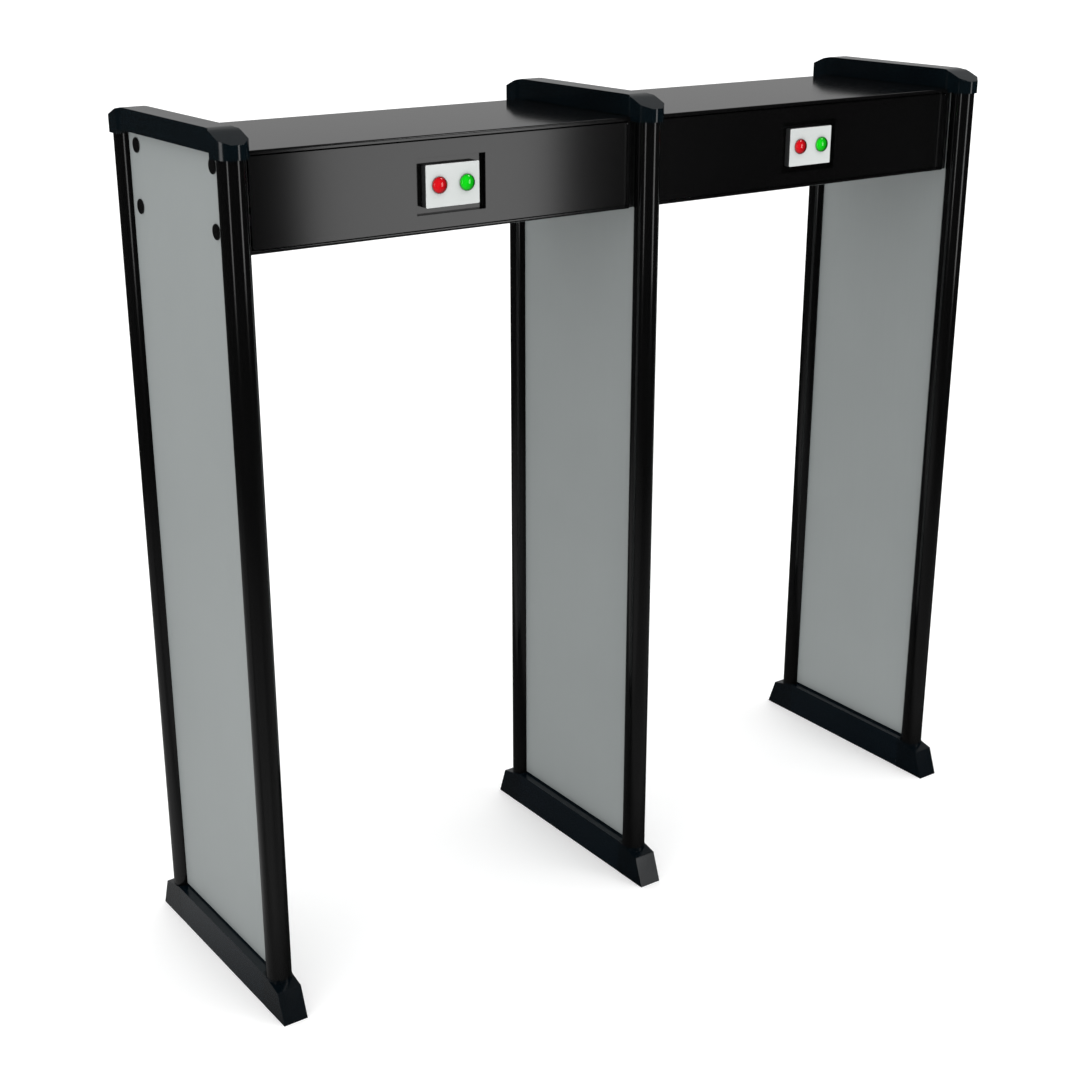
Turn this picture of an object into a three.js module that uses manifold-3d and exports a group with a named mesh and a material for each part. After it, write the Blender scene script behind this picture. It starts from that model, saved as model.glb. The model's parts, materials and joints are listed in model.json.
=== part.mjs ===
// Double-lane walk-through security gate: three pillars joined by two header beams.
// Millimetres, +Z up. The two lanes lie side by side along X and people walk along Y.
// The signal lamps face -Y. The origin is on the floor, under the middle pillar's centre.

import * as THREE from 'three';
import { mergeVertices } from 'three/addons/utils/BufferGeometryUtils.js';
import Module from 'manifold-3d';

const wasm = await Module();
wasm.setup();

// ---------------------------------------------------------------- driving dimensions
const gateHeight = 2200;
const pillarPitch = 1140;                // pillar centre to pillar centre
const fitGap = 0.3;                      // between two pieces that touch
const overcut = 1;                       // how far a cutter runs past the face it cuts

const footWidth = 66;
const footLength = 720;
const footHeight = 100;
const footBarLength = 500;               // between the seams of the two end pieces
const footWall = 6;                      // the bar is a hollow profile
const footPlug = 40;                     // tongue of the end piece inside the bar
const footNoseHeight = 81;               // top of the end piece at its tip
const footNoseSlope = 29;                // how far the end face leans out to the floor
const railHeight = 5.7;                  // rail on the foot bar that the panel stands on

const postDiameter = 64;
const postWall = 3;
const postSpacing = 556;                 // front post axis to rear post axis
const postBottom = 97;
const postTop = 2150;
const spigotHeight = 60;                 // stub of the foot that fills the post's bore

const panelThickness = 16.8;
const skinThickness = 3;
const panelWidth = 497.6;                // edge to edge, inside the slots of the posts
const panelTop = 2145.5;
const slotGap = 0.4;                     // each side of the panel in a slot
const coilWidth = 451.2;
const coilBottom = 125.4;
const coilTop = 1894.6;
const coilSection = 9.2;
const coilCorner = 40;
const coilWeb = 1.2;                     // what is left of the core under the coil's groove

const capWidth = 75;                     // over the end blocks
const capWaist = 62;                     // between the end blocks
const capEndBottom = 2137;
const capBottom = 2147;
const capRoof = 6;
const capTipHeight = 2170;               // where the sloping ends meet the end faces
const capFlatLength = 486;               // level stretch of the top
const capRounding = 20;                  // half the length of the curve from level to slope
const capCorner = 22;                    // the end blocks are half octagons
const capBlockStart = 250;               // end blocks begin this far from the middle
const capFlare = 10;                     // length of the step from waist to end block

const beamBottom = 1920;
const beamTop = 2147;
const beamFront = -256.4;
const beamBack = 238;
const beamEndFront = -240;               // front of the narrower ends that reach the panels
const beamLength = 1063;                 // full section, between the posts
const beamWall = 3;
const beamEndWall = 4;
const beamEdge = 5;                      // rounded long edges
const beamEndGap = 1.2;                  // between a beam's end and the panel it is bolted to
const rimTop = 9.4;                      // rim round the cover, as seen from the front
const rimBottom = 7.9;
const rimSide = 8.5;
const rimDepth = 5;
const rimSideDepth = 10.4;

const coverGap = 2.8;                    // shadow gap between the cover and the rim
const coverThickness = 3;
const coverCorner = 8;
const coverProud = 2;                    // how far the cover stands in front of the rim
const flangeInset = 6;
const flangeThickness = 2;
const flangeDepth = 12;
const hingeDrop = 3.5;                   // hinge axis below the cover's top edge
const hingeDepth = 4;                    // hinge axis behind the cover's face
const bossLength = 9;
const pinDiameter = 3;
const pinLength = 16;

const windowWidth = 191.6;
const windowBottom = 1964;
const windowTop = 2096;
const trayDepth = 13.8;                  // cover face to tray floor
const trayWall = 2.5;
const trayLip = 8;
const blockWidth = 148;
const blockHeight = 99;
const blockThickness = 20.6;
const blockCorner = 3;
const lampSpacing = 76.4;
const lampRaise = 2;                     // lamps above the middle of their block
const lampDiameter = 41;
const lampRise = 13;
const lampSkirt = 2;                     // straight part of a lens, under its dome
const lampStem = 30;
const stemGap = 0.5;
const boardThickness = 1.6;
const boardMargin = 5;                   // board's edge inside the lamp block's edge

const unitWidth = 300;
const unitDepth = 150;
const unitHeight = 102;
const unitCentre = -300;                 // along the beam, from its middle
const unitBackGap = 30;
const ribPitch = 30;
const ribGroove = 8;

const boltHeadDiameter = 36;
const boltHeadHeight = 4;
const boltHeadEdge = 1.2;
const boltDiameter = 10;
const boltEnd = 3;                       // how far a bolt stands out of the last wall
const tieHeadDiameter = 18;
const boltSpread = 410;                  // front bolts to rear bolts
const topBolts = 2114;
const lowBolts = 1970.5;

const cornerSteps = 3;                   // steps in a rounded corner
const domeSteps = 4;                     // steps from the edge of a lens to its top
const postSides = 32;
const smallSides = 20;                   // bolts and lenses
const holeSides = 12;

// ---------------------------------------------------------------- derived dimensions
const footHalf = footWidth / 2;
const footTip = footLength / 2;
const seam = footBarLength / 2;
const postRadius = postDiameter / 2;
const postAxis = postSpacing / 2;
const seatTop = postBottom - fitGap;
const panelHalf = panelThickness / 2;
const slotHalf = panelHalf + slotGap;
const coreHalf = panelHalf - skinThickness - fitGap;
const panelBottom = footHeight + railHeight + fitGap;
const capTip = postAxis + capWidth / 2;
const beamHalf = beamLength / 2;
const beamReach = pillarPitch / 2 - panelHalf - beamEndGap;
const beamEndTop = capBottom - 2 * fitGap;
const openHalf = beamHalf - rimSide;
const rimSideBack = beamFront + rimSideDepth;
const coverHalf = openHalf - coverGap;
const coverFace = beamFront - coverProud;
const coverBack = coverFace + coverThickness;
const coverBottom = beamBottom + rimBottom + coverGap;
const coverTop = beamTop - rimTop - coverGap;
const hingeY = coverFace + hingeDepth;
const hingeZ = coverTop - hingeDrop;
const pinStart = coverHalf - pinLength / 2;
const windowHalf = windowWidth / 2;
const windowMiddle = (windowBottom + windowTop) / 2;
const lampHeight = windowMiddle + lampRaise;
const trayFloor = coverFace + trayDepth;
const trayBack = trayFloor + trayWall;
const blockBack = trayFloor - fitGap;
const blockFace = blockBack - blockThickness;
const boardFace = trayBack + fitGap;
const boltHoleRadius = boltDiameter / 2 + fitGap;
const boltRows = [-boltSpread / 2, boltSpread / 2];
const allBolts = [topBolts, lowBolts];

// ---------------------------------------------------------------- solids
function toSolid(geometry) {
  const bare = new THREE.BufferGeometry();
  bare.setAttribute('position', geometry.getAttribute('position'));
  if (geometry.index) {
    bare.setIndex(geometry.index);
  }
  const merged = mergeVertices(bare, 1e-4);
  return new wasm.Manifold(new wasm.Mesh({
    numProp: 3,
    vertProperties: new Float32Array(merged.getAttribute('position').array),
    triVerts: new Uint32Array(merged.index.array),
  }));
}

function toGeometry(solid) {
  const data = solid.getMesh();
  const geometry = new THREE.BufferGeometry();
  geometry.setAttribute('position', new THREE.BufferAttribute(data.vertProperties, 3));
  geometry.setIndex(new THREE.BufferAttribute(data.triVerts, 1));
  const flat = geometry.toNonIndexed();
  flat.computeVertexNormals();
  return flat;
}

function block(x0, x1, y0, y1, z0, z1) {
  const geometry = new THREE.BoxGeometry(x1 - x0, y1 - y0, z1 - z0);
  geometry.translate((x0 + x1) / 2, (y0 + y1) / 2, (z0 + z1) / 2);
  return toSolid(geometry);
}

// An outline drawn in (y, z), carried along X.
function alongX(shape, x0, x1) {
  const geometry = new THREE.ExtrudeGeometry(shape, {
    depth: x1 - x0, bevelEnabled: false, curveSegments: cornerSteps,
  });
  geometry.rotateX(Math.PI / 2);
  geometry.rotateZ(Math.PI / 2);
  geometry.translate(x0, 0, 0);
  return toSolid(geometry);
}

// An outline drawn in (x, z), carried along Y.
function alongY(shape, y0, y1) {
  const geometry = new THREE.ExtrudeGeometry(shape, {
    depth: y1 - y0, bevelEnabled: false, curveSegments: cornerSteps,
  });
  geometry.rotateX(Math.PI / 2);
  geometry.translate(0, y1, 0);
  return toSolid(geometry);
}

// An outline drawn in (x, y), carried up Z.
function alongZ(shape, z0, z1, steps = cornerSteps) {
  const geometry = new THREE.ExtrudeGeometry(shape, {
    depth: z1 - z0, bevelEnabled: false, curveSegments: steps,
  });
  geometry.translate(0, 0, z0);
  return toSolid(geometry);
}

function cylinderX(radius, x0, x1, y, z) {
  const geometry = new THREE.CylinderGeometry(radius, radius, x1 - x0, holeSides);
  geometry.rotateZ(Math.PI / 2);
  geometry.translate((x0 + x1) / 2, y, z);
  return toSolid(geometry);
}

function cylinderY(radius, x, y0, y1, z) {
  const geometry = new THREE.CylinderGeometry(radius, radius, y1 - y0, smallSides);
  geometry.translate(x, (y0 + y1) / 2, z);
  return toSolid(geometry);
}

function cylinderZ(radius, y, z0, z1) {
  const geometry = new THREE.CylinderGeometry(radius, radius, z1 - z0, postSides);
  geometry.rotateX(Math.PI / 2);
  geometry.translate(0, y, (z0 + z1) / 2);
  return toSolid(geometry);
}

function turned(points) {
  return new THREE.LatheGeometry(points.map(([r, h]) => new THREE.Vector2(r, h)), smallSides);
}

function roundedRectangle(a0, a1, b0, b1, radius) {
  const shape = new THREE.Shape();
  const quarter = Math.PI / 2;
  shape.absarc(a1 - radius, b0 + radius, radius, -quarter, 0, false);
  shape.absarc(a1 - radius, b1 - radius, radius, 0, quarter, false);
  shape.absarc(a0 + radius, b1 - radius, radius, quarter, 2 * quarter, false);
  shape.absarc(a0 + radius, b0 + radius, radius, 2 * quarter, 3 * quarter, false);
  return shape;
}

function cut(solid, tools) {
  return tools.reduce((rest, tool) => rest.subtract(tool), solid);
}

// ---------------------------------------------------------------- materials
function finish(colour, roughness, metalness = 0) {
  return new THREE.MeshStandardMaterial({ color: colour, roughness, metalness });
}

const footFinish = () => finish(0x161d23, 0.35);
const postFinish = () => finish(0x161616, 0.25);
const skinFinish = () => finish(0x8f9594, 0.5);
const coreFinish = () => finish(0xc8b68c, 0.9);
const copperFinish = () => finish(0xb8703c, 0.4, 0.9);
const capFinish = () => finish(0x141c22, 0.3);
const housingFinish = () => finish(0x101010, 0.15);
const trayFinish = () => finish(0x0a0a0a, 0.1);
const lampBlockFinish = () => finish(0xe3e6e4, 0.4);
const redFinish = () => finish(0xe6141e, 0.1);
const greenFinish = () => finish(0x1ee61e, 0.1);
const boardFinish = () => finish(0x1d6b3a, 0.6);
const unitFinish = () => finish(0xb4b7ba, 0.45, 0.6);
const steelFinish = () => finish(0x9a9da0, 0.3, 1);
const boltFinish = () => finish(0x0c0c0c, 0.35);

function piece(parent, name, solid, material) {
  const mesh = new THREE.Mesh(toGeometry(solid), material);
  mesh.name = name;
  parent.add(mesh);
  return mesh;
}

// ---------------------------------------------------------------- pillar pieces
// Room above the foot for the two posts, from their lower ends upwards.
function postRooms(radius) {
  const top = footHeight + railHeight + overcut;
  return [-postAxis, postAxis].map((y) => cylinderZ(radius, y, seatTop, top));
}

// Hollow profile, open at both ends, with a rail on top that the panel stands on.
function footBar() {
  const end = seam - fitGap / 2;
  const inner = footHalf - footWall;
  const railEnd = postAxis - postRadius - overcut;
  const bar = block(-footHalf, footHalf, -end, end, 0, footHeight);
  const bore = block(-inner, inner, -footLength, footLength, footWall, footHeight - footWall);
  const rail = block(
    -panelHalf, panelHalf, -railEnd, railEnd, footHeight - overcut, footHeight + railHeight);
  return cut(bar.subtract(bore).add(rail), postRooms(postRadius + fitGap));
}

// The rear end piece: a wedge with a tongue for the bar, and a round seat and spigot for the post.
function footEnd() {
  const near = seam + fitGap / 2;
  const outline = new THREE.Shape();
  outline.moveTo(near, 0);
  outline.lineTo(footTip, 0);
  outline.lineTo(footTip - footNoseSlope, footNoseHeight);
  outline.lineTo(near, footHeight);
  const wedge = alongX(outline, -footHalf, footHalf);
  const seat = cylinderZ(footHalf, postAxis, footNoseHeight / 2, seatTop);
  const spigotRadius = postRadius - postWall - fitGap;
  const spigot = cylinderZ(spigotRadius, postAxis, footNoseHeight, postBottom + spigotHeight);
  const beyondSeam = block(-footWidth, footWidth, near, footLength, -overcut, gateHeight);
  const tongueHalf = footHalf - footWall - fitGap;
  const tongue = block(
    -tongueHalf, tongueHalf, near - footPlug, near + overcut,
    footWall + fitGap, footHeight - footWall - fitGap);
  return cut(wedge, postRooms(footHalf)).add(seat).add(spigot).intersect(beyondSeam).add(tongue);
}

// The rear post: a round tube, open along the slot that holds the panel's edge.
function post() {
  const inner = postRadius - postWall;
  const outerTurn = Math.asin(slotHalf / postRadius);
  const innerTurn = Math.asin(slotHalf / inner);
  const towardsPanel = -Math.PI / 2;
  const lastTurn = towardsPanel + 2 * Math.PI;
  const shape = new THREE.Shape();
  shape.absarc(0, postAxis, postRadius, towardsPanel + outerTurn, lastTurn - outerTurn, false);
  shape.absarc(0, postAxis, inner, lastTurn - innerTurn, towardsPanel + innerTurn, true);
  return alongZ(shape, postBottom, postTop, postSides / 2);
}

function boltHoles(heights, x0, x1) {
  return boltRows.flatMap((y) => heights.map((z) => cylinderX(boltHoleRadius, x0, x1, y, z)));
}

function skin(bolts) {
  const half = panelWidth / 2;
  const sheet = block(-panelHalf, -panelHalf + skinThickness, -half, half, panelBottom, panelTop);
  return cut(sheet, boltHoles(bolts, -panelThickness, panelThickness));
}

function coilLoop(room, x0, x1) {
  const half = coilWidth / 2 + room;
  const inside = half - coilSection - 2 * room;
  const band = coilSection + room;
  const outer = roundedRectangle(-half, half, coilBottom - room, coilTop + room, coilCorner + room);
  const inner = roundedRectangle(
    -inside, inside, coilBottom + band, coilTop - band, coilCorner - band);
  return alongX(outer, x0, x1).subtract(alongX(inner, x0 - overcut, x1 + overcut));
}

// Stiff core between the skins, with the groove that the detector coil lies in.
function core(bolts) {
  const half = panelWidth / 2 - overcut;
  const plate = block(-coreHalf, coreHalf, -half, half, panelBottom, panelTop);
  const groove = coilLoop(fitGap, -coreHalf + coilWeb, coreHalf + overcut);
  return cut(plate, [groove, ...boltHoles(bolts, -panelThickness, panelThickness)]);
}

function coil() {
  return coilLoop(0, -coreHalf + coilWeb + fitGap, coreHalf - fitGap);
}

// Seen from the side: a level top that curves down to a slope at each end.
function capSide() {
  const flat = capFlatLength / 2;
  const slope = (gateHeight - capTipHeight) / (capTip - flat);
  const curveEnd = flat + capRounding;
  const curveHeight = gateHeight - slope * capRounding;
  const shape = new THREE.Shape();
  shape.moveTo(-capTip, capEndBottom);
  shape.lineTo(-capBlockStart, capEndBottom);
  shape.lineTo(-capBlockStart, capBottom);
  shape.lineTo(capBlockStart, capBottom);
  shape.lineTo(capBlockStart, capEndBottom);
  shape.lineTo(capTip, capEndBottom);
  shape.lineTo(capTip, capTipHeight);
  shape.lineTo(curveEnd, curveHeight);
  shape.quadraticCurveTo(flat, gateHeight, flat - capRounding, gateHeight);
  shape.lineTo(capRounding - flat, gateHeight);
  shape.quadraticCurveTo(-flat, gateHeight, -curveEnd, curveHeight);
  shape.lineTo(-capTip, capTipHeight);
  return shape;
}

// Seen from above: a narrow waist between two half octagons.
function capPlan() {
  const wide = capWidth / 2;
  const waist = capWaist / 2;
  const front = wide - capCorner;
  const side = capTip - capCorner;
  const quarter = [
    [front, capTip], [wide, side], [wide, capBlockStart], [waist, capBlockStart - capFlare],
  ];
  const back = [...quarter].reverse();
  const flip = (points, sx, sy) => points.map(([x, y]) => new THREE.Vector2(sx * x, sy * y));
  return new THREE.Shape([
    ...flip(quarter, 1, 1), ...flip(back, 1, -1), ...flip(quarter, -1, -1), ...flip(back, -1, 1),
  ]);
}

// Moulded cap, hollow between its end blocks, with a socket in each block for a post.
function cap() {
  const below = capEndBottom - overcut;
  const plan = alongZ(capPlan(), below, gateHeight + overcut);
  const body = alongX(capSide(), -capWidth, capWidth).intersect(plan);
  const sockets = [-postAxis, postAxis].map(
    (y) => cylinderZ(postRadius + fitGap, y, below, postTop + fitGap));
  const panelRoom = block(-slotHalf, slotHalf, -postAxis, postAxis, below, capBottom);
  const inner = capWaist / 2 - capRoof;
  const end = capBlockStart - capFlare - capRoof;
  const hollow = block(-inner, inner, -end, end, below, gateHeight - capRoof);
  return cut(body, [...sockets, panelRoom, hollow]);
}

// A bolt along X with its head at -X. The head rests at x = seat and the shank ends at x = end.
function bolt(headDiameter, seat, end) {
  const head = headDiameter / 2;
  const shank = boltDiameter / 2;
  const geometry = turned([
    [0, seat - end], [shank, seat - end], [shank, 0], [head, 0],
    [head, boltHeadHeight - boltHeadEdge], [head - boltHeadEdge, boltHeadHeight],
    [0, boltHeadHeight],
  ]);
  geometry.rotateZ(Math.PI / 2);
  geometry.translate(seat, 0, 0);
  return toSolid(geometry);
}

// Broad-headed bolts through an outer pillar's panel into the end of its beam.
function outerBolts(parent, name, side) {
  const seat = -panelHalf - fitGap;
  const end = panelHalf + beamEndGap + beamEndWall + boltEnd;
  for (const [row, z] of [['top', topBolts], ['low', lowBolts]]) {
    for (const [place, y] of [['front', boltRows[0]], ['rear', boltRows[1]]]) {
      const solid = bolt(boltHeadDiameter, seat, end);
      const mesh = piece(parent, `${name}_bolt_${place}_${row}`, solid, boltFinish());
      mesh.position.set(0, y, z);
      mesh.rotation.z = side > 0 ? Math.PI : 0;
    }
  }
}

// Bolts that join the two beams through the middle panel, with their heads inside the left beam.
function tieBolts(parent) {
  const wall = panelHalf + beamEndGap + beamEndWall;
  for (const [place, y] of [['front', boltRows[0]], ['rear', boltRows[1]]]) {
    const solid = bolt(tieHeadDiameter, -wall - fitGap, wall + boltEnd);
    const mesh = piece(parent, `middle_tie_bolt_${place}`, solid, steelFinish());
    mesh.position.set(0, y, topBolts);
  }
}

function pillar(name, x, bolts) {
  const group = new THREE.Group();
  group.position.x = x;
  piece(group, `${name}_foot_bar`, footBar(), footFinish());
  piece(group, `${name}_foot_end_rear`, footEnd(), footFinish());
  piece(group, `${name}_foot_end_front`, footEnd(), footFinish()).rotation.z = Math.PI;
  piece(group, `${name}_post_rear`, post(), postFinish());
  piece(group, `${name}_post_front`, post(), postFinish()).rotation.z = Math.PI;
  piece(group, `${name}_panel_left_skin`, skin(bolts), skinFinish());
  piece(group, `${name}_panel_right_skin`, skin(bolts), skinFinish()).rotation.z = Math.PI;
  piece(group, `${name}_panel_core`, core(bolts), coreFinish());
  piece(group, `${name}_detector_coil`, coil(), copperFinish());
  piece(group, `${name}_top_cap`, cap(), capFinish());
  return group;
}

// ---------------------------------------------------------------- beam pieces
// Long thin-walled box, open at the front inside a rim, with narrower ends that reach the panels.
// outerSide is the direction along X of the outer pillar.
function housing(outerSide) {
  const floor = beamBottom + beamWall;
  const ceiling = beamTop - beamWall;
  const back = beamBack - beamWall;
  const innerHalf = beamHalf - beamEndWall;
  const reach = beamReach - beamEndWall;
  const section = roundedRectangle(beamFront, beamBack, beamBottom, beamTop, beamEdge);
  const main = alongX(section, -beamHalf, beamHalf);
  const ends = block(-beamReach, beamReach, beamEndFront, beamBack, beamBottom, beamEndTop);
  const hollow = block(-innerHalf, innerHalf, rimSideBack, back, floor, ceiling);
  const endHollow = block(
    -reach, reach, beamEndFront + beamWall, back, floor, beamEndTop - beamWall);
  const behindRim = block(
    -openHalf, openHalf, beamFront + rimDepth, rimSideBack + overcut, floor, ceiling);
  const mouth = block(
    -openHalf, openHalf, beamFront - overcut, rimSideBack, beamBottom + rimBottom, beamTop - rimTop);
  const pinEnd = pinStart + pinLength + fitGap;
  const pinHole = cylinderX(pinDiameter / 2 + fitGap, -pinEnd, pinEnd, hingeY, hingeZ);
  const near = outerSide * (reach - overcut);
  const far = outerSide * (beamReach + overcut);
  const x0 = Math.min(near, far);
  const x1 = Math.max(near, far);
  const outerHoles = boltHoles(allBolts, x0, x1);
  const tieHoles = boltHoles([topBolts], -x1, -x0);
  return cut(main.add(ends), [
    hollow, endHollow, behindRim, mouth, pinHole, ...outerHoles, ...tieHoles,
  ]);
}

// Flat door with rounded corners, a turned-in flange, a lamp window and a hinge boss at each top
// corner.
function cover() {
  const flangeHalf = coverHalf - flangeInset;
  const flangeTop = hingeZ - hingeDrop - overcut;
  const flangeBottom = coverBottom + flangeInset;
  const flangeBack = coverBack + flangeDepth;
  const plate = block(-coverHalf, coverHalf, coverFace, coverBack, coverBottom, coverTop);
  const flange = block(
    -flangeHalf, flangeHalf, coverBack - overcut, flangeBack, flangeBottom, flangeTop);
  const insideFlange = block(
    -flangeHalf + flangeThickness, flangeHalf - flangeThickness, coverBack, flangeBack + overcut,
    flangeBottom + flangeThickness, flangeTop - flangeThickness);
  const bossStart = coverHalf - bossLength;
  const bossBack = hingeY + hingeDrop;
  const bossBottom = hingeZ - hingeDrop;
  const rightBoss = block(
    bossStart, coverHalf, coverBack - overcut, bossBack, bossBottom, coverTop);
  const leftBoss = block(
    -coverHalf, -bossStart, coverBack - overcut, bossBack, bossBottom, coverTop);
  const lampWindow = block(
    -windowHalf, windowHalf, coverFace - overcut, coverBack + overcut, windowBottom, windowTop);
  const pinRadius = pinDiameter / 2 + fitGap;
  const pinRoom = pinStart - fitGap;
  const pinHoles = [
    cylinderX(pinRadius, pinRoom, coverHalf + overcut, hingeY, hingeZ),
    cylinderX(pinRadius, -coverHalf - overcut, -pinRoom, hingeY, hingeZ),
  ];
  const outline = alongY(
    roundedRectangle(-coverHalf, coverHalf, coverBottom, coverTop, coverCorner),
    coverFace - overcut, flangeBack + overcut);
  const door = plate.add(flange.subtract(insideFlange)).add(rightBoss).add(leftBoss);
  return cut(door.intersect(outline), [lampWindow, ...pinHoles]);
}

function lampHoles(y0, y1) {
  const radius = lampStem / 2 + stemGap;
  return [-lampSpacing / 2, lampSpacing / 2].map((x) => cylinderY(radius, x, y0, y1, lampHeight));
}

// Shallow tray behind the window, with a lip that lies on the back of the cover.
function lampTray() {
  const front = coverBack + fitGap;
  const lip = block(
    -windowHalf - trayLip, windowHalf + trayLip, front, front + trayWall,
    windowBottom - trayLip, windowTop + trayLip);
  const pan = block(
    -windowHalf - trayWall, windowHalf + trayWall, front, trayBack,
    windowBottom - trayWall, windowTop + trayWall);
  const room = block(
    -windowHalf, windowHalf, front - overcut, trayFloor, windowBottom, windowTop);
  return cut(lip.add(pan), [room, ...lampHoles(trayFloor - overcut, trayBack + overcut)]);
}

function lampBlock() {
  const side = blockWidth / 2;
  const rise = blockHeight / 2;
  const outline = roundedRectangle(
    -side, side, windowMiddle - rise, windowMiddle + rise, blockCorner);
  const body = alongY(outline, blockFace, blockBack);
  return cut(body, lampHoles(blockFace - overcut, blockBack + overcut));
}

// Domed lens with a stem that reaches through the block and the tray to the board.
function lens() {
  const radius = lampDiameter / 2;
  const seat = blockFace - fitGap;
  const stemLength = boardFace - fitGap - seat;
  const dome = [];
  for (let i = 0; i <= domeSteps; i += 1) {
    const turn = (Math.PI / 2) * (i / domeSteps);
    const reach = i === domeSteps ? 0 : radius * Math.cos(turn);
    dome.push([reach, lampSkirt + (lampRise - lampSkirt) * Math.sin(turn)]);
  }
  const geometry = turned([
    [0, -stemLength], [lampStem / 2, -stemLength], [lampStem / 2, 0], [radius, 0], ...dome,
  ]);
  geometry.rotateX(Math.PI);
  geometry.translate(0, seat, 0);
  return toSolid(geometry);
}

function lampBoard() {
  const side = blockWidth / 2 - boardMargin;
  const rise = blockHeight / 2 - boardMargin;
  const back = boardFace + boardThickness;
  return block(-side, side, boardFace, back, windowMiddle - rise, windowMiddle + rise);
}

// Detector electronics and power supply in one case with cooling grooves, on the housing's floor.
function controlUnit() {
  const floor = beamBottom + beamWall + fitGap;
  const start = unitCentre - unitWidth / 2;
  const back = beamBack - unitBackGap;
  const front = back - unitDepth;
  const top = floor + unitHeight;
  const grooves = [];
  for (let x = start + ribPitch; x < start + unitWidth; x += ribPitch) {
    grooves.push(block(
      x - ribGroove / 2, x + ribGroove / 2, front - overcut, back + overcut,
      top - ribGroove, top + overcut));
  }
  return cut(block(start, start + unitWidth, front, back, floor, top), grooves);
}

// Hinge pin, half in a boss of the cover and half in the rim, with its middle at x = 0.
function hingePin() {
  return cylinderX(pinDiameter / 2, -pinLength / 2, pinLength / 2, hingeY, hingeZ);
}

function beam(name, outerSide) {
  const group = new THREE.Group();
  group.position.x = outerSide * pillarPitch / 2;
  piece(group, `${name}_beam_housing`, housing(outerSide), housingFinish());
  piece(group, `${name}_beam_cover`, cover(), housingFinish());
  piece(group, `${name}_lamp_tray`, lampTray(), trayFinish());
  piece(group, `${name}_lamp_block`, lampBlock(), lampBlockFinish());
  const red = piece(group, `${name}_red_lens`, lens(), redFinish());
  red.position.set(-lampSpacing / 2, 0, lampHeight);
  const green = piece(group, `${name}_green_lens`, lens(), greenFinish());
  green.position.set(lampSpacing / 2, 0, lampHeight);
  piece(group, `${name}_lamp_board`, lampBoard(), boardFinish());
  piece(group, `${name}_control_unit`, controlUnit(), unitFinish());
  piece(group, `${name}_hinge_pin_left`, hingePin(), steelFinish()).position.x = -coverHalf;
  piece(group, `${name}_hinge_pin_right`, hingePin(), steelFinish()).position.x = coverHalf;
  return group;
}

// ---------------------------------------------------------------- the whole gate
const gate = new THREE.Group();
gate.name = 'security_gate';
const leftPillar = pillar('left', -pillarPitch, allBolts);
outerBolts(leftPillar, 'left', -1);
const middlePillar = pillar('middle', 0, [topBolts]);
tieBolts(middlePillar);
const rightPillar = pillar('right', pillarPitch, allBolts);
outerBolts(rightPillar, 'right', 1);
gate.add(leftPillar, middlePillar, rightPillar, beam('left', -1), beam('right', 1));

export default gate;
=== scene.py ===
"""The looks of a double-lane walk-through security gate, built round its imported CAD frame."""

import json
import math

import bmesh
import bpy
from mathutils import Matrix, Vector


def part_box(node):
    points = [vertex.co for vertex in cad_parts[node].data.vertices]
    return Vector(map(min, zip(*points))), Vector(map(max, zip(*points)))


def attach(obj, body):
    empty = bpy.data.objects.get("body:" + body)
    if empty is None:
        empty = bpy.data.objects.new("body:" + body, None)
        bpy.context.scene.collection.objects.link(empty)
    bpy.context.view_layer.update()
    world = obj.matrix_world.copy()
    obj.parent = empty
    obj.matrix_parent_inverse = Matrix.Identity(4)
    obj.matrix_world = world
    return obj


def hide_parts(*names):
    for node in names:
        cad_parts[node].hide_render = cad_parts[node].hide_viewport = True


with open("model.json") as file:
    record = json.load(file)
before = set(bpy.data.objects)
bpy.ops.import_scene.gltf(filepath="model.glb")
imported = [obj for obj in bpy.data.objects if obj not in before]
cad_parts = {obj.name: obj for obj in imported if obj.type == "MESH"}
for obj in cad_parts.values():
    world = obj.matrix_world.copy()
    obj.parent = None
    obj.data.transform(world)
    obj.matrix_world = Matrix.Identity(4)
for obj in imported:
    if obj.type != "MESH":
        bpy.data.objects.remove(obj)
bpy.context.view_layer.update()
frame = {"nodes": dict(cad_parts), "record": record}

PILLARS = ("left", "middle", "right")
SIDES = ("left", "right")                # of the two beams, and of whatever has a left and a right
ENDS = ("front", "rear")
MM = 0.001
WHITE = (1.0, 1.0, 1.0, 1.0)

POST_SIDES = 96
TURNED_SIDES = 64                        # bolts and lenses
SCREW_SIDES = 24

WELD = 0.01 * MM
COPLANAR_ANGLE = math.radians(0.5)       # faces bent less than this make one flat face
SHARP_ANGLE = math.radians(25)           # edges bent more than this can be rounded
STEP_ANGLE = math.radians(40)            # edges bent less than this are steps of a stepped curve
CREASE_ANGLE = math.radians(50)          # a rounded piece is shaded smooth up to this bend
TURNED_CREASE = math.radians(40)         # and a turned piece up to this one
CIRCULAR = 0.5                           # profile of a rounded edge
FULL_WEIGHT = 100                        # large faces decide the shading at an edge

POST_WALL = 3 * MM
POST_SLOT_HALF = 8.8 * MM
LAMP_PLATE = 2.5 * MM                    # white front of a lamp block

CAMERA_PLACE = (-2.8127, -3.7832, 2.6774)
CAMERA_AZIMUTH = -35.31
CAMERA_PITCH = -20.20
CAMERA_LENS = 58.95
CAMERA_SENSOR = 36.0
CAMERA_REACH = 500.0
FLOOR_HALF = 90.0

BODY_OF_NODE = {
    node: body for body, nodes in frame["record"]["behaviour"]["bodies"].items() for node in nodes
}
SLOT_OF_NODE = {part["node"]: part["material_slot"] for part in frame["record"]["subparts"]}


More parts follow.
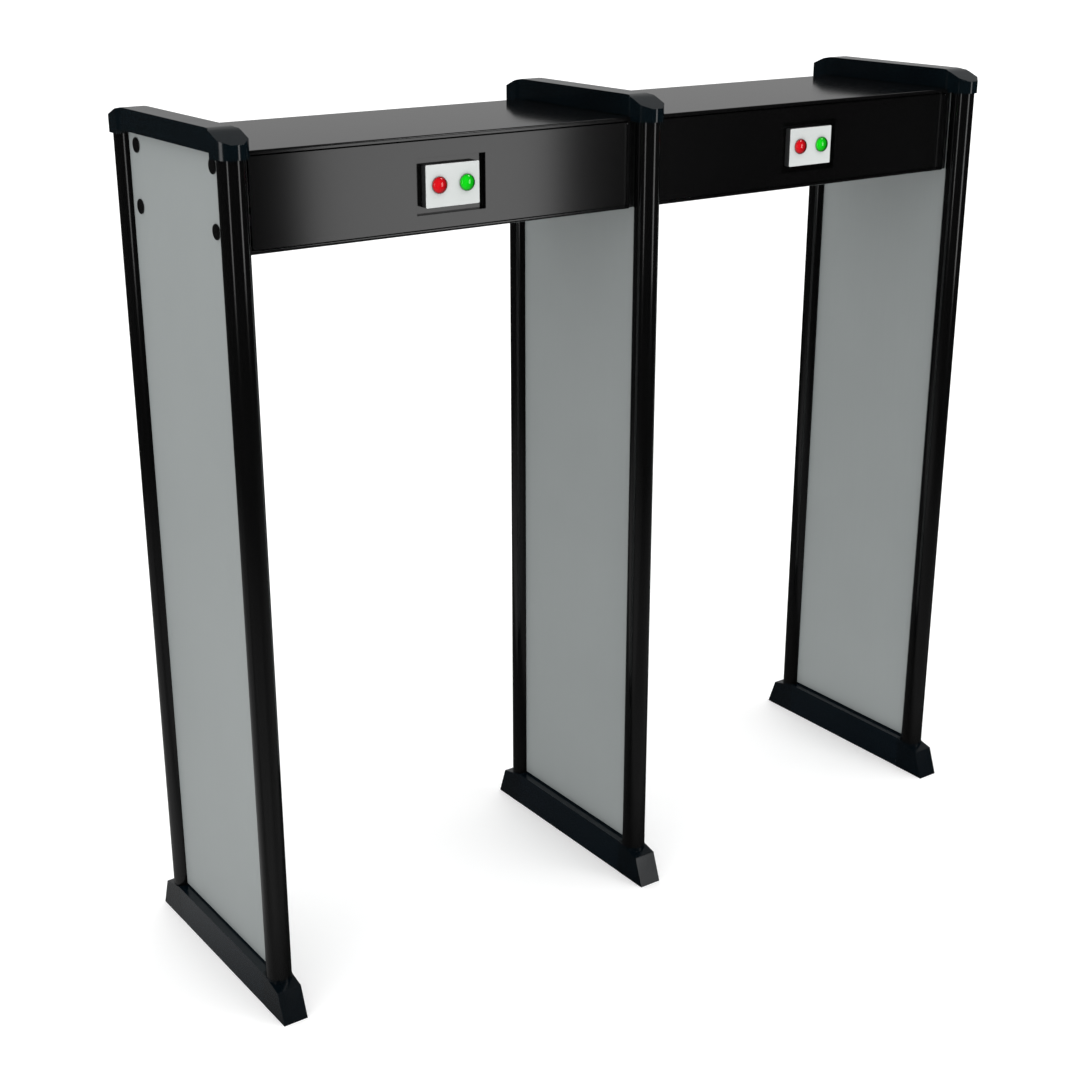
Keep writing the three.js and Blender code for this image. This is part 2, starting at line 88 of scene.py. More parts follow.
# ------------------------------------------------------------------ node building blocks
class Graph:
    """A node tree, with short calls for the nodes that the looks and the stage use."""

    def __init__(self, tree):
        self.tree = tree

    def add(self, kind, **settings):
        node = self.tree.nodes.new(kind)
        for key, value in settings.items():
            setattr(node, key, value)
        return node

    def plug(self, value, socket):
        """Links an output to a socket, or sets the socket to a plain value."""
        if isinstance(value, bpy.types.NodeSocket):
            self.tree.links.new(value, socket)
        else:
            socket.default_value = value

    def between(self, value, low, high, start=0.3, end=0.7, curve="LINEAR"):
        """Goes from low to high as the value goes from start to end, and stays there outside."""
        node = self.add("ShaderNodeMapRange", interpolation_type=curve)
        self.plug(value, node.inputs["Value"])
        for key, number in (("From Min", start), ("From Max", end), ("To Min", low), ("To Max", high)):
            node.inputs[key].default_value = number
        return node.outputs["Result"]

    def maths(self, operation, a, b):
        node = self.add("ShaderNodeMath", operation=operation)
        self.plug(a, node.inputs[0])
        self.plug(b, node.inputs[1])
        return node.outputs["Value"]

    def multiply(self, a, b):
        return self.maths("MULTIPLY", a, b)

    def plus(self, a, b):
        return self.maths("ADD", a, b)

    def axes(self, vector):
        """The X, Y and Z of a vector."""
        node = self.add("ShaderNodeSeparateXYZ")
        self.plug(vector, node.inputs["Vector"])
        return node.outputs

    def white_light(self, kind, strength):
        node = self.add(kind)
        node.inputs["Color"].default_value = WHITE
        self.plug(strength, node.inputs["Strength"])
        return node.outputs[0]

    def switch(self, test, off, on):
        """One of two shaders, by a test that is 0 or 1."""
        node = self.add("ShaderNodeMixShader")
        self.plug(test, node.inputs["Fac"])
        self.plug(off, node.inputs[1])
        self.plug(on, node.inputs[2])
        return node.outputs["Shader"]


class Nodes(Graph):
    """A material's node tree round its Principled shader. Places are in metres on the piece."""

    def __init__(self, name):
        self.material = bpy.data.materials.new(name)
        self.material.use_nodes = True
        super().__init__(self.material.node_tree)
        self.shader = self.tree.nodes["Principled BSDF"]
        self.place = self.add("ShaderNodeTexCoord").outputs["Object"]

    def set(self, name, value):
        self.plug(value, self.shader.inputs[name])

    def stretched(self, scale):
        node = self.add("ShaderNodeMapping")
        self.plug(self.place, node.inputs["Vector"])
        node.inputs["Scale"].default_value = scale
        return node.outputs["Vector"]

    def noise(self, scale, detail=3.0, roughness=0.5, place=None):
        node = self.add("ShaderNodeTexNoise")
        self.plug(place or self.place, node.inputs["Vector"])
        node.inputs["Scale"].default_value = scale
        node.inputs["Detail"].default_value = detail
        node.inputs["Roughness"].default_value = roughness
        return node.outputs["Fac"]

    def mix(self, amount, low, high):
        node = self.add("ShaderNodeMix", data_type="RGBA")
        self.plug(amount, node.inputs["Factor"])
        self.plug(rgba(low), node.inputs["A"])
        self.plug(rgba(high), node.inputs["B"])
        return node.outputs["Result"]

    def edge(self):
        """Up to 1 in patches on the rounded edges of a piece, 0 elsewhere: wear on the coats and mouldings, a
        painted highlight on the lamp block's white front.
        """
        node = self.add("ShaderNodeAttribute", attribute_name="edge")
        spots = self.noise(38.0, detail=5.0, roughness=0.65)
        patches = self.between(spots, 0.0, 1.0, start=0.42, end=0.68)
        return self.multiply(node.outputs["Fac"], patches)

    def bump(self, height, strength, distance):
        node = self.add("ShaderNodeBump")
        self.plug(height, node.inputs["Height"])
        node.inputs["Strength"].default_value = strength
        node.inputs["Distance"].default_value = distance
        self.set("Normal", node.outputs["Normal"])


def rgba(colour):
    if isinstance(colour, bpy.types.NodeSocket) or len(colour) == 4:
        return colour
    return (*colour, 1.0)


# ------------------------------------------------------------------ materials
def coated(name, dark, light, rough):
    """Black sprayed coat: slight cloudiness, fine orange peel, edges rubbed a little duller."""
    worn = (0.020, 0.022, 0.024)
    n = Nodes(name)
    worn_edge = n.multiply(n.edge(), 0.35)
    clouds = n.between(n.noise(2.2, detail=4.0), 0.0, 1.0)
    smear = n.between(n.noise(2.5, detail=1.0), rough - 0.012, rough + 0.012)
    n.set("Base Color", n.mix(worn_edge, n.mix(clouds, dark, light), worn))
    n.set("Roughness", n.plus(smear, n.multiply(worn_edge, 0.3)))
    n.bump(n.noise(900.0, detail=2.0), strength=0.35, distance=0.012 * MM)
    return n.material


def moulded(name, dark, light, rough, worn=(0.022, 0.027, 0.031)):
    """Moulded plastic with a fine spark-eroded grain."""
    n = Nodes(name)
    worn_edge = n.multiply(n.edge(), 0.4)
    clouds = n.between(n.noise(6.0, detail=4.0), 0.0, 1.0)
    smear = n.between(n.noise(9.0, detail=4.0), rough - 0.04, rough + 0.05)
    grain = n.plus(n.noise(2600.0), n.multiply(n.noise(300.0, detail=2.0), 0.5))
    n.set("Base Color", n.mix(worn_edge, n.mix(clouds, dark, light), worn))
    n.set("Roughness", n.plus(smear, n.multiply(worn_edge, 0.15)))
    n.bump(grain, strength=0.4, distance=0.02 * MM)
    return n.material


def grey_sheet():
    """Satin silver-grey laminate: faint vertical grain and soft cloudy tone."""
    dark = (0.290, 0.313, 0.311)
    light = (0.314, 0.338, 0.336)
    n = Nodes("silver_grey_sheet")
    brushed = n.noise(260.0, roughness=0.6, place=n.stretched((1.0, 1.0, 0.02)))
    tone = n.plus(n.multiply(n.noise(1.3), 0.7), n.multiply(brushed, 0.3))
    n.set("Base Color", n.mix(n.between(tone, 0.0, 1.0, start=0.35, end=0.65), dark, light))
    n.set("Roughness", n.between(brushed, 0.42, 0.52))
    n.bump(n.plus(brushed, n.noise(1500.0, detail=2.0)), strength=0.25, distance=0.015 * MM)
    return n.material


def glossy_lens(name, painted_rim_shade, bright):
    """Translucent coloured dome with a slightly speckled glow. Its colour is darker towards the rim as seen
    from the camera, a painted shade.
    """
    n = Nodes(name)
    facing = n.add("ShaderNodeLayerWeight").outputs["Facing"]
    # painted shade: the colour darkens towards the dome's rim as seen from the camera
    shade = n.mix(n.between(facing, 1.0, 0.0, start=0.05, end=0.55), painted_rim_shade, bright)
    speckle = n.between(n.noise(420.0, detail=2.0), 0.92, 1.0)
    cells = n.between(n.noise(110.0, detail=1.0), 0.75, 1.0)
    n.set("Base Color", shade)
    n.set("Roughness", n.between(n.noise(60.0), 0.04, 0.09))
    n.set("Emission Color", shade)
    n.set("Emission Strength", n.multiply(n.multiply(speckle, cells), 0.16))
    n.set("Coat Weight", 1.0)
    n.set("Coat Roughness", 0.05)
    n.bump(n.noise(260.0, detail=2.0), strength=0.2, distance=0.03 * MM)
    return n.material


def lamp_housing():
    """White satin front plate on a dark grey body. The change is a clean line behind the front. The plate's
    rounded edges are made near-white in patches, a painted highlight.
    """
    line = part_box("left_lamp_block")[0].y + LAMP_PLATE
    body = (0.035, 0.036, 0.037)
    dull_white = (0.55, 0.575, 0.565)
    white = (0.59, 0.615, 0.605)
    # near-white of the painted highlight on the plate's rounded edges
    painted_edge_highlight = (0.92, 0.93, 0.92)
    n = Nodes("white_front_grey_body")
    behind = n.between(n.axes(n.place)["Y"], 0.0, 1.0, start=line, end=line + 0.2 * MM)
    clouds = n.between(n.noise(7.0, detail=4.0), 0.0, 1.0)
    # painted highlight: the plate's rounded edges turn near-white in patches
    plate = n.mix(n.edge(), n.mix(clouds, dull_white, white), painted_edge_highlight)
    n.set("Base Color", n.mix(behind, plate, body))
    n.set("Roughness", n.between(n.noise(40.0), 0.34, 0.42))
    n.bump(n.noise(2200.0), strength=0.3, distance=0.02 * MM)
    return n.material


def bare_metal(name, dark, light, rough, scale):
    """Drawn metal, with its grain along the axes that have a small scale."""
    n = Nodes(name)
    drawn = n.noise(700.0, roughness=0.6, place=n.stretched(scale))
    n.set("Base Color", n.mix(n.between(drawn, 0.0, 1.0), dark, light))
    n.set("Metallic", 1.0)
    n.set("Roughness", n.between(drawn, rough - 0.06, rough + 0.08))
    n.bump(drawn, strength=0.3, distance=0.02 * MM)
    return n.material


def fibreboard():
    """Raw board of short upright fibres."""
    dark = (0.40, 0.29, 0.16)
    light = (0.56, 0.43, 0.26)
    n = Nodes("raw_fibreboard")
    fibres = n.noise(900.0, detail=5.0, roughness=0.7, place=n.stretched((1.0, 1.0, 0.3)))
    n.set("Base Color", n.mix(n.between(fibres, 0.0, 1.0), dark, light))
    n.set("Roughness", n.between(fibres, 0.8, 0.95))
    n.bump(fibres, strength=0.5, distance=0.1 * MM)
    return n.material


def printed_board():
    """Green lacquer over paler upright tracks."""
    lacquer = (0.010, 0.09, 0.035)
    track = (0.03, 0.16, 0.07)
    n = Nodes("green_printed_board")
    tracks = n.noise(160.0, detail=1.0, roughness=0.3, place=n.stretched((1.0, 1.0, 0.15)))
    n.set("Base Color", n.mix(n.between(tracks, 0.0, 1.0, start=0.48, end=0.52), lacquer, track))
    n.set("Roughness", n.between(tracks, 0.35, 0.5))
    n.bump(tracks, strength=0.3, distance=0.03 * MM)
    return n.material


LOOKS = {
    "foot_bar": coated(
        "blue_black_foot_coat", dark=(0.0010, 0.0036, 0.0062), light=(0.0018, 0.0052, 0.0084), rough=0.20),
    "foot_end": moulded(
        "blue_black_foot_moulding", dark=(0.0006, 0.0022, 0.0036), light=(0.0012, 0.0034, 0.0054),
        rough=0.20),
    "post": coated(
        "black_post_coat", dark=(0.0016, 0.0016, 0.0017), light=(0.0024, 0.0024, 0.0025), rough=0.12),
    "panel_skin": grey_sheet(),
    "panel_core": fibreboard(),
    "detector_coil": bare_metal(
        "enamelled_copper", dark=(0.42, 0.17, 0.06), light=(0.62, 0.30, 0.12), rough=0.35,
        scale=(1.0, 0.05, 0.05)),
    "top_cap": moulded(
        "blue_black_cap_moulding", dark=(0.0012, 0.0032, 0.0046), light=(0.0020, 0.0050, 0.0070), rough=0.11),
    "bolt": moulded(
        "black_bolt_head", dark=(0.0016, 0.0016, 0.0017), light=(0.0026, 0.0026, 0.0027), rough=0.20),
    "steel": bare_metal(
        "plated_steel", dark=(0.40, 0.41, 0.42), light=(0.55, 0.56, 0.58), rough=0.3,
        scale=(0.05, 1.0, 1.0)),
    "beam_shell": coated(
        "gloss_black_beam_coat", dark=(0.0022, 0.0022, 0.0023), light=(0.0030, 0.0030, 0.0031), rough=0.10),
    "lamp_tray": coated(
        "gloss_black_tray", dark=(0.0022, 0.0022, 0.0022), light=(0.0030, 0.0030, 0.0030), rough=0.10),
    "lamp_block": lamp_housing(),
    # the lenses' rims take a painted shade
    "red_lens": glossy_lens("red_lens", painted_rim_shade=(0.05, 0.000, 0.001), bright=(0.62, 0.005, 0.010)),
    "green_lens": glossy_lens("green_lens", painted_rim_shade=(0.000, 0.05, 0.001), bright=(0.005, 0.60, 0.009)),
    "lamp_board": printed_board(),
    "control_unit": moulded(
        "light_grey_case", dark=(0.42, 0.44, 0.45), light=(0.50, 0.52, 0.53), rough=0.45,
        worn=(0.6, 0.6, 0.6)),
}


# ------------------------------------------------------------------ mesh building blocks
def finished(bm, name):
    mesh = bpy.data.meshes.new(name)
    bm.normal_update()
    bm.to_mesh(mesh)
    bm.free()
    mesh.shade_smooth()
    return mesh


def add_piece(name, mesh, slot, body):
    """Puts a mesh in the scene on a body, with the finish of a named slot."""
    piece = bpy.data.objects.new(name, mesh)
    bpy.context.scene.collection.objects.link(piece)
    mesh.materials.append(LOOKS[slot])
    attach(piece, body)
    return piece


def stand_in(bm, node, slot):
    """Puts a mesh in the scene in place of a CAD node, on that node's body."""
    piece = add_piece(node + "_look", finished(bm, node), slot, BODY_OF_NODE[node])
    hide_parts(node)
    return piece


def turned_stand_in(bm, node, slot):
    """The same for a piece made of turned or swept faces, with a crease at each corner."""
    bmesh.ops.recalc_face_normals(bm, faces=bm.faces)
    piece = stand_in(bm, node, slot)
    piece.data.set_sharp_from_angle(angle=TURNED_CREASE)


def round_edges(bm, edges, radius, segments):
    return bmesh.ops.bevel(
        bm, geom=edges, offset=radius, offset_type="OFFSET", segments=segments,
        profile=CIRCULAR, affect="EDGES", clamp_overlap=True)


def rounded_copy(node, slot, *rounds):
    """A CAD node's shape with its flat faces made whole and its sharp edges rounded.

    Each round is (radius, segments) or (radius, segments, which edges), and they come in turn.
    """
    bm = bmesh.new()
    bm.from_mesh(frame["nodes"][node].data)
    # marks the rounded faces: wear on coats and mouldings, a painted highlight on the lamp block's white
    # front
    worn = bm.faces.layers.float.new("edge")
    bmesh.ops.remove_doubles(bm, verts=bm.verts, dist=WELD)
    bmesh.ops.dissolve_limit(bm, angle_limit=COPLANAR_ANGLE, verts=bm.verts, edges=bm.edges)
    for radius, segments, *tests in rounds:
        sharp = [
            e for e in bm.edges
            if e.is_manifold and e.calc_face_angle() > SHARP_ANGLE and all(test(e) for test in tests)
        ]
        for face in round_edges(bm, sharp, radius, segments)["faces"]:
            face[worn] = 1.0
    bmesh.ops.dissolve_degenerate(bm, dist=WELD, edges=bm.edges)
    piece = stand_in(bm, node, slot)
    piece.data.set_sharp_from_angle(angle=CREASE_ANGLE)
    weighted = piece.modifiers.new("weighted_normals", "WEIGHTED_NORMAL")
    weighted.keep_sharp = True
    weighted.weight = FULL_WEIGHT


def lathe(points, sides, place, turn_axis, bm=None):
    """A closed solid of revolution, in a new mesh or added to one.

    Points are (radius, height along turn_axis).
    """
    if bm is None:
        bm = bmesh.new()
    axis = Vector(turn_axis).normalized()
    side = axis.orthogonal().normalized()
    other = axis.cross(side)
    rings = []
    for radius, height in points:
        if radius < WELD:
            rings.append([bm.verts.new(Vector(place) + axis * height)])
            continue
        ring = []
        for i in range(sides):
            turn = 2 * math.pi * i / sides
            out = side * math.cos(turn) + other * math.sin(turn)
            ring.append(bm.verts.new(Vector(place) + out * radius + axis * height))
        rings.append(ring)
    for low, high in zip(rings, rings[1:]):
        for i in range(sides):
            j = (i + 1) % sides
            corners = [low[i % len(low)], low[j % len(low)], high[j % len(high)], high[i % len(high)]]
            face = list(dict.fromkeys(corners))
            if len(face) > 2:
                bm.faces.new(face)
    return bm


def arc(centre_r, centre_h, radius, start, end, steps):
    """Points along an arc of a lathe profile, angles in degrees from the radial direction."""
    turns = [math.radians(start + (end - start) * i / steps) for i in range(steps + 1)]
    return [(centre_r + radius * math.cos(t), centre_h + radius * math.sin(t)) for t in turns]


def boxes(name, corners, radius):
    """One mesh of separate small blocks with rounded edges. Each is (low corner, high corner)."""
    bm = bmesh.new()
    for low, high in corners:
        made = bmesh.ops.create_cube(bm, size=1.0)
        centre = (Vector(low) + Vector(high)) / 2
        size = Vector(high) - Vector(low)
        for vert in made["verts"]:
            vert.co = centre + Vector(c * s for c, s in zip(vert.co, size))
    round_edges(bm, list(bm.edges), radius, segments=2)
    return finished(bm, name)


def screw_heads(name, places, radius, height):
    """Small domed screws on a face that looks towards -Y, each with a round recess."""
    edge = radius * 0.4
    mouth = radius * 0.275
    recess = radius * 0.1925
    recess_bottom = height * 0.45
    rounding = arc(radius - edge, 0, edge, start=0, end=80, steps=4)
    rim = [(r, h * height / edge) for r, h in rounding]
    profile = [(0, 0), *rim, (mouth, height), (recess, recess_bottom), (0, recess_bottom)]
    bm = bmesh.new()
    for place in places:
        lathe(profile, SCREW_SIDES, place, (0, -1, 0), bm)
    bmesh.ops.recalc_face_normals(bm, faces=bm.faces)
    return finished(bm, name)


def middle(low, high):
    return [(a + b) / 2 for a, b in zip(low, high)]


def lies_along(edge, axis):
    """True when an edge runs along X, Y or Z, given as 0, 1 or 2."""
    nearly_one = 0.999
    run = (edge.verts[1].co - edge.verts[0].co).normalized()
    return abs(run[axis]) > nearly_one


# ------------------------------------------------------------------ pillars
def post(pillar, end):
    """A round tube with smooth walls, open along the slot that holds the panel's edge."""
    node = f"{pillar}_post_{end}"
    low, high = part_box(node)
    radius = (high.x - low.x) / 2
    axis_x = (low.x + high.x) / 2
    axis_y = low.y + radius if end == "front" else high.y - radius
    towards_panel = math.pi / 2 if end == "front" else -math.pi / 2
    bm = bmesh.new()

    def ring(r, z, reverse):
        half_slot = math.asin(POST_SLOT_HALF / r)
        span = 2 * math.pi - 2 * half_slot
        turns = [towards_panel + half_slot + span * i / POST_SIDES for i in range(POST_SIDES + 1)]
        if reverse:
            turns.reverse()
        return [bm.verts.new((axis_x + r * math.cos(t), axis_y + r * math.sin(t), z)) for t in turns]

    bottom = ring(radius, low.z, False) + ring(radius - POST_WALL, low.z, True)
    top = ring(radius, high.z, False) + ring(radius - POST_WALL, high.z, True)
    count = len(bottom)
    for i in range(count):
        j = (i + 1) % count
        bm.faces.new((bottom[i], bottom[j], top[j], top[i]))
    for i in range(count // 2 - 1):
        bm.faces.new((top[i], top[i + 1], top[count - 2 - i], top[count - 1 - i]))
        bm.faces.new((bottom[i + 1], bottom[i], bottom[count - 1 - i], bottom[count - 2 - i]))
    turned_stand_in(bm, node, "post")


def bolt_head(node):
    """A broad, slightly domed head on its shank."""
    low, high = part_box(node)
    radius = (high.z - low.z) / 2
    outwards = 1 if node.startswith("right") else -1
    head = 4 * MM
    shank = 5 * MM
    crown = 1.0 * MM
    edge = 1.4 * MM
    top = (high.x - low.x) / 2
    seat = top - head
    rim = arc(radius - edge, top - crown - edge, edge, start=0, end=70, steps=5)
    profile = [(0, -top), (shank, -top), (shank, seat), (radius, seat), *rim]
    rim_r, rim_h = rim[-1]
    steps = 6
    for i in range(1, steps + 1):
        left = 1 - i / steps
        profile.append((rim_r * left, rim_h + (top - rim_h) * (1 - left ** 2)))
    bm = lathe(profile, TURNED_SIDES, middle(low, high), (outwards, 0, 0))
    turned_stand_in(bm, node, "bolt")


def cap_edges(pillar):
    """Test for a cap's broadly rounded edges: those of its sides, slopes and top, inside and out.

    Its lower edges, the upright edges of its end faces and nearly all its sockets' edges stay sharp.
    """
    low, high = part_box(f"{pillar}_top_cap")
    middle_x = (low.x + high.x) / 2
    above_bottom = low.z + 1 * MM
    inside_waist = 30.5 * MM
    below_slopes = high.z - 31 * MM

    def wanted(edge):
        on_outside = all(
            abs(v.co.x - middle_x) > inside_waist or v.co.z > below_slopes for v in edge.verts)
        return on_outside and any(v.co.z > above_bottom for v in edge.verts)

    return wanted


def foot_edges(pillar):
    """Test for a wedge's rounded edges: those wholly past its seam and below the post's seat.

    The outline where it meets the foot bar is rounded too, which leaves a fine groove there.
    """
    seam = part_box(f"{pillar}_foot_bar")[1].y
    past_seam = seam + 1 * MM
    past_tongue = seam + 5 * MM
    below_seat = 96 * MM

    def wanted(edge):
        reach = [abs(v.co.y) for v in edge.verts]
        low = all(v.co.z < below_seat for v in edge.verts)
        if low and all(y > past_seam for y in reach):
            return True
        on_wedge = any(abs(f.calc_center_median().y) > past_tongue for f in edge.link_faces)
        return on_wedge and all(seam < y < past_seam for y in reach)

    return wanted


def build_pillar(pillar):
    rounded_copy(f"{pillar}_foot_bar", "foot_bar", (2.0 * MM, 3))
    rounded_copy(f"{pillar}_top_cap", "top_cap", (3.4 * MM, 5, cap_edges(pillar)))
    for end in ENDS:
        rounded_copy(f"{pillar}_foot_end_{end}", "foot_end", (2.0 * MM, 4, foot_edges(pillar)))
        post(pillar, end)
    for side in SIDES:
        rounded_copy(f"{pillar}_panel_{side}_skin", "panel_skin", (0.4 * MM, 2))


# ------------------------------------------------------------------ beams
def lens(beam, colour):
    """A domed lens with its stem."""
    node = f"{beam}_{colour}_lens"
    low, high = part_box(node)
    radius = (high.x - low.x) / 2
    stem = 15 * MM
    rise = 13 * MM
    skirt = 2 * MM
    seat = high.y - low.y - rise
    profile = [(0, 0), (stem, 0), (stem, seat), (radius, seat), (radius, seat + skirt)]
    steps = 16
    for i in range(1, steps + 1):
        turn = math.pi / 2 * i / steps
        across = 0 if i == steps else radius * math.cos(turn)
        profile.append((across, seat + skirt + (rise - skirt) * math.sin(turn)))
    middle_x, _, middle_z = middle(low, high)
    bm = lathe(profile, TURNED_SIDES, (middle_x, high.y, middle_z), (0, -1, 0))
    turned_stand_in(bm, node, f"{colour}_lens")


def rim_nose(beam):
    """Test for the inner front edges of a housing's rim, which are broadly rounded."""
    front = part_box(f"{beam}_beam_housing")[0].y + WELD
    low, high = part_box(f"{beam}_beam_cover")
    reach = 4 * MM

    def wanted(edge):
        return all(
            v.co.y < front
            and low.x - reach < v.co.x < high.x + reach
            and low.z - reach < v.co.z < high.z + reach
            for v in edge.verts
        )

    return wanted


def stepped_long_edge(edge):
    """Test for the steps of a housing's long outer edges, which rounding makes smooth."""
    return lies_along(edge, 0) and edge.calc_face_angle() < STEP_ANGLE


def cover_corner(beam):
    """Test for the short edges that step round a cover's corners."""
    low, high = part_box(f"{beam}_beam_cover")
    corner = 8.5 * MM

    def wanted(edge):
        near = all(
            min(v.co.x - low.x, high.x - v.co.x) < corner
            and min(v.co.z - low.z, high.z - v.co.z) < corner
            for v in edge.verts
        )
        return near and lies_along(edge, 1) and edge.calc_face_angle() < STEP_ANGLE

    return wanted


def unit_screws(beam, low, high, body):
    """Four screws near the corners of the case's front, the upper two clear of its grooves."""
    margin = 12 * MM
    top_margin = 24 * MM
    columns = (low.x + margin, high.x - margin)
    rows = (low.z + margin, high.z - top_margin)
    places = [(x, low.y, z) for x in columns for z in rows]
    name = f"{beam}_unit_screws"
    add_piece(name, screw_heads(name, places, radius=4 * MM, height=2 * MM), "steel", body)


def terminal_strip(beam, low, body):
    """A row of terminal blocks on the case's front."""
    pitch = 11 * MM
    width = 10 * MM
    depth = 12 * MM
    height = 16 * MM
    first = low.x + 60 * MM
    bottom = low.z + 30 * MM
    blocks = []
    for i in range(12):
        start = first + i * pitch
        blocks.append(((start, low.y - depth, bottom), (start + width, low.y, bottom + height)))
    name = f"{beam}_terminal_strip"
    add_piece(name, boxes(name, blocks, 0.8 * MM), "lamp_board", body)


def control_unit(beam):
    """The case inside a beam, with four screws and a terminal strip on its front."""
    node = f"{beam}_control_unit"
    rounded_copy(node, "control_unit", (1.0 * MM, 3))
    low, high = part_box(node)
    unit_screws(beam, low, high, BODY_OF_NODE[node])
    terminal_strip(beam, low, BODY_OF_NODE[node])


def board_connector(low, high):
    """Corners of the connector at the top of a board's back."""
    half_width = 12 * MM
    depth = 7 * MM
    height = 10 * MM
    top = high.z - 6 * MM
    middle_x = (low.x + high.x) / 2
    return (
        (middle_x - half_width, high.y, top - height),
        (middle_x + half_width, high.y + depth, top),
    )


def board_chips(low, high):
    """Corners of the small parts that stand in rows on a board's back."""
    width = 5 * MM
    depth = 2 * MM
    height = 3 * MM
    column_pitch = 14 * MM
    row_pitch = 16 * MM
    first_x = low.x + 14 * MM
    first_z = low.z + 10 * MM
    chips = []
    for row in range(3):
        for column in range(8):
            x = first_x + column * column_pitch
            z = first_z + row * row_pitch
            chips.append(((x, high.y, z), (x + width, high.y + depth, z + height)))
    return chips


def lamp_board(beam):
    """The board behind the lamp block, with a connector and rows of small parts on its back."""
    node = f"{beam}_lamp_board"
    rounded_copy(node, "lamp_board", (0.3 * MM, 2))
    low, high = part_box(node)
    parts = [board_connector(low, high), *board_chips(low, high)]
    name = f"{beam}_board_parts"
    add_piece(name, boxes(name, parts, 0.3 * MM), "bolt", BODY_OF_NODE[node])


def build_beam(beam):
    rounded_copy(
        f"{beam}_beam_housing", "beam_shell",
        (4.2 * MM, 6, rim_nose(beam)), (1.2 * MM, 3, stepped_long_edge))
    rounded_copy(f"{beam}_beam_cover", "beam_shell", (1.9 * MM, 3, cover_corner(beam)), (0.8 * MM, 3))
    rounded_copy(f"{beam}_lamp_tray", "lamp_tray", (0.6 * MM, 2))
    rounded_copy(f"{beam}_lamp_block", "lamp_block", (1.2 * MM, 3))
    for colour in ("red", "green"):
        lens(beam, colour)
    lamp_board(beam)
    control_unit(beam)
    for end in SIDES:
        rounded_copy(f"{beam}_hinge_pin_{end}", "steel", (0.3 * MM, 2))


# ------------------------------------------------------------------ the whole gate
def build_gate():
    for pillar in PILLARS:
        build_pillar(pillar)
    for beam in SIDES:
        build_beam(beam)
    for side in SIDES:
        for end in ENDS:
            for row in ("top", "low"):
                bolt_head(f"{side}_bolt_{end}_{row}")


def finish_cad():
    """Gives every CAD node the finish of its slot, for the ones that stay."""
    for node, cad_object in frame["nodes"].items():
        cad_object.data.materials.clear()
        cad_object.data.materials.append(LOOKS[SLOT_OF_NODE[node]])


# ------------------------------------------------------------------ stage
def floor_glow(n):
    """How bright reflections see the floor: pale on the left, dim in front, dark elsewhere.

    Starts and ends are places on the floor in metres.
    """
    distance = n.add("ShaderNodeVectorMath", operation="LENGTH")
    n.plug(n.stretched((0.75, 1.0, 1.0)), distance.inputs[0])
    place = n.axes(n.place)
    near = n.between(distance.outputs["Value"], 1.0, 0.06, start=1.0, end=4.2)
    on_left = n.between(place["X"], 0.42, 0.05, start=-1.45, end=-1.0)
    at_rear = n.between(place["Y"], 0.35, 1.0, start=-0.40, end=0.25)
    in_front = n.between(place["Y"], 0.15, 0.0, start=-0.75, end=-0.35)
    return n.multiply(n.plus(n.multiply(on_left, at_rear), in_front), near)


def floor_look():
    """Near-white and matt. Reflections see floor_glow in place of it."""
    n = Nodes("pale_floor")
    n.set("Base Color", (0.90, 0.90, 0.90, 1.0))
    n.set("Roughness", 0.9)
    n.set("Specular IOR Level", 0.0)
    n.set("Emission Color", WHITE)
    n.set("Emission Strength", 0.24)
    glow = n.white_light("ShaderNodeEmission", floor_glow(n))
    in_reflection = n.add("ShaderNodeLightPath").outputs["Is Glossy Ray"]
    seen = n.switch(in_reflection, n.shader.outputs["BSDF"], glow)
    n.plug(seen, n.tree.nodes["Material Output"].inputs["Surface"])
    return n.material


def floor():
    """A plain near-white floor."""
    bm = bmesh.new()
    signs = ((-1, -1), (1, -1), (1, 1), (-1, 1))
    bm.faces.new([bm.verts.new((x * FLOOR_HALF, y * FLOOR_HALF, 0)) for x, y in signs])
    mesh = bpy.data.meshes.new("floor")
    bm.to_mesh(mesh)
    bm.free()
    mesh.materials.append(floor_look())
    plane = bpy.data.objects.new("floor", mesh)
    bpy.context.scene.collection.objects.link(plane)


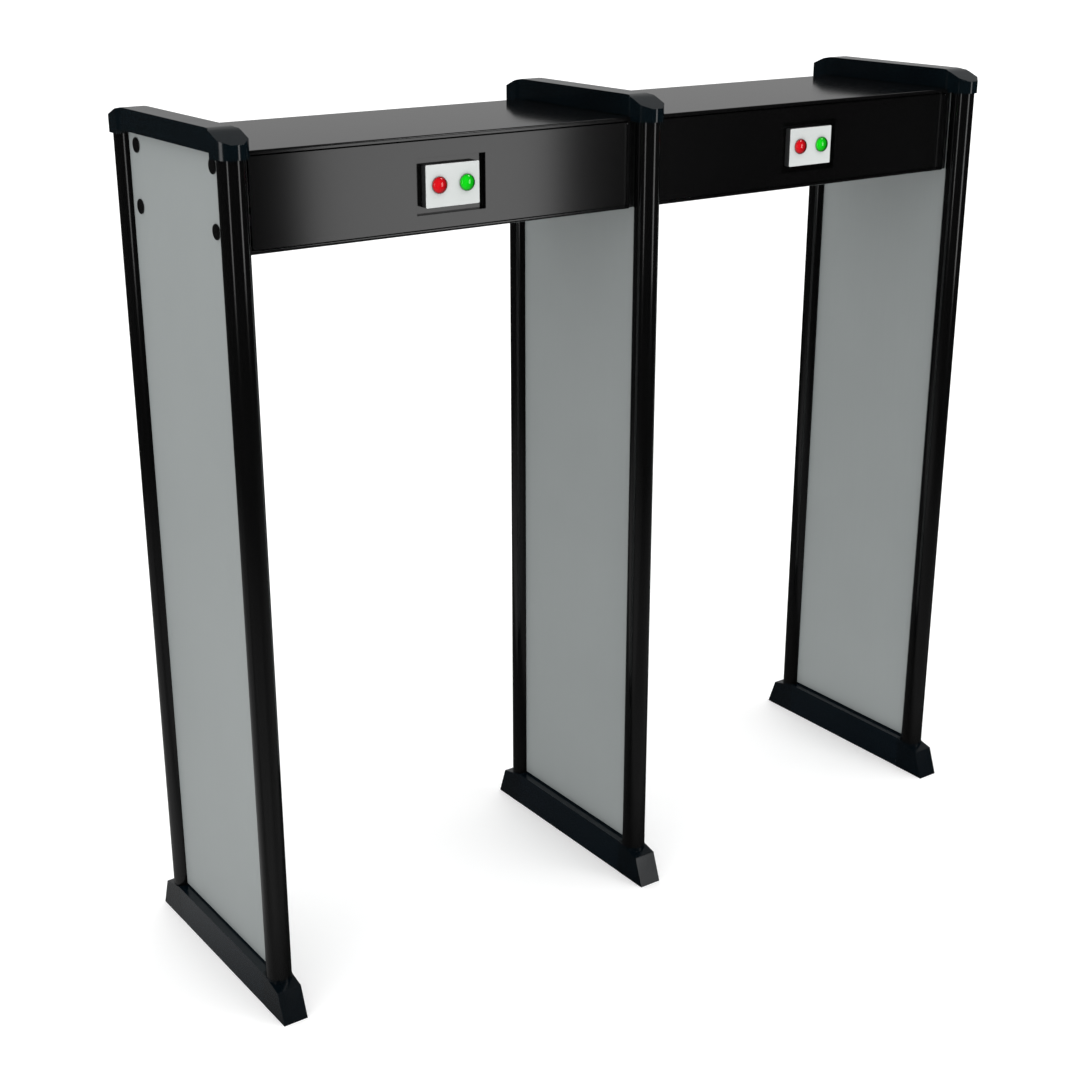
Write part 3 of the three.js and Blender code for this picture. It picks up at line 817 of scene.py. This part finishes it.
def sky():
    """Soft white light, stronger overhead, on a plain white backdrop.

    Reflections see a dark studio that is paler behind on the right.
    """
    world = bpy.data.worlds.new("studio")
    bpy.context.scene.world = world
    world.use_nodes = True
    world.node_tree.nodes.clear()
    n = Graph(world.node_tree)
    direction = n.add("ShaderNodeTexCoord").outputs["Generated"]
    overhead = n.between(n.axes(direction)["Z"], 0.62, 1.42, start=0.0, end=1.0)
    to_right_rear = n.add("ShaderNodeVectorMath", operation="DOT_PRODUCT")
    n.plug(direction, to_right_rear.inputs[0])
    to_right_rear.inputs[1].default_value = (0.58, 0.81, 0.0)
    paler = n.between(
        to_right_rear.outputs["Value"], 0.02, 0.36, start=0.4, end=0.9, curve="SMOOTHSTEP")
    even = n.white_light("ShaderNodeBackground", overhead)
    dark = n.white_light("ShaderNodeBackground", paler)
    plain = n.white_light("ShaderNodeBackground", 1.0)
    ray = n.add("ShaderNodeLightPath").outputs
    studio = n.switch(ray["Is Glossy Ray"], even, dark)
    seen = n.switch(ray["Is Camera Ray"], studio, plain)
    n.plug(seen, n.add("ShaderNodeOutputWorld").inputs["Surface"])


def softbox(name, place, aim, width, height, radiance):
    """A rectangular light whose face looks equally bright at any size."""
    light = bpy.data.lights.new(name, "AREA")
    light.shape = "RECTANGLE"
    light.size = width
    light.size_y = height
    light.energy = radiance * math.pi * width * height
    lamp = bpy.data.objects.new(name, light)
    lamp.location = place
    direction = Vector(aim) - Vector(place)
    lamp.rotation_mode = "QUATERNION"
    lamp.rotation_quaternion = direction.to_track_quat("-Z", "Y")
    bpy.context.scene.collection.objects.link(lamp)


def softboxes():
    softbox(
        "right_softbox", place=(3.66, -7.15, 1.9), aim=(-0.5, 0.0, 1.9),
        width=1.72, height=3.6, radiance=2.5)
    softbox(
        "left_softbox", place=(-7.7, -4.9, 2.2), aim=(-0.8, 0.0, 2.2),
        width=1.3, height=4.2, radiance=2.4)
    softbox(
        "top_softbox", place=(1.75, -2.3, 5.1), aim=(-0.5, 0.0, 2.0),
        width=0.9, height=0.9, radiance=6.0)


def camera():
    data = bpy.data.cameras.new("camera")
    data.lens = CAMERA_LENS
    data.sensor_width = CAMERA_SENSOR
    data.clip_end = CAMERA_REACH
    cam = bpy.data.objects.new("camera", data)
    cam.location = CAMERA_PLACE
    cam.rotation_euler = (math.radians(90 + CAMERA_PITCH), 0.0, math.radians(CAMERA_AZIMUTH))
    bpy.context.scene.collection.objects.link(cam)
    bpy.context.scene.camera = cam


build_gate()
finish_cad()
floor()
sky()
softboxes()
camera()
bpy.context.scene.view_settings.view_transform = "Standard"
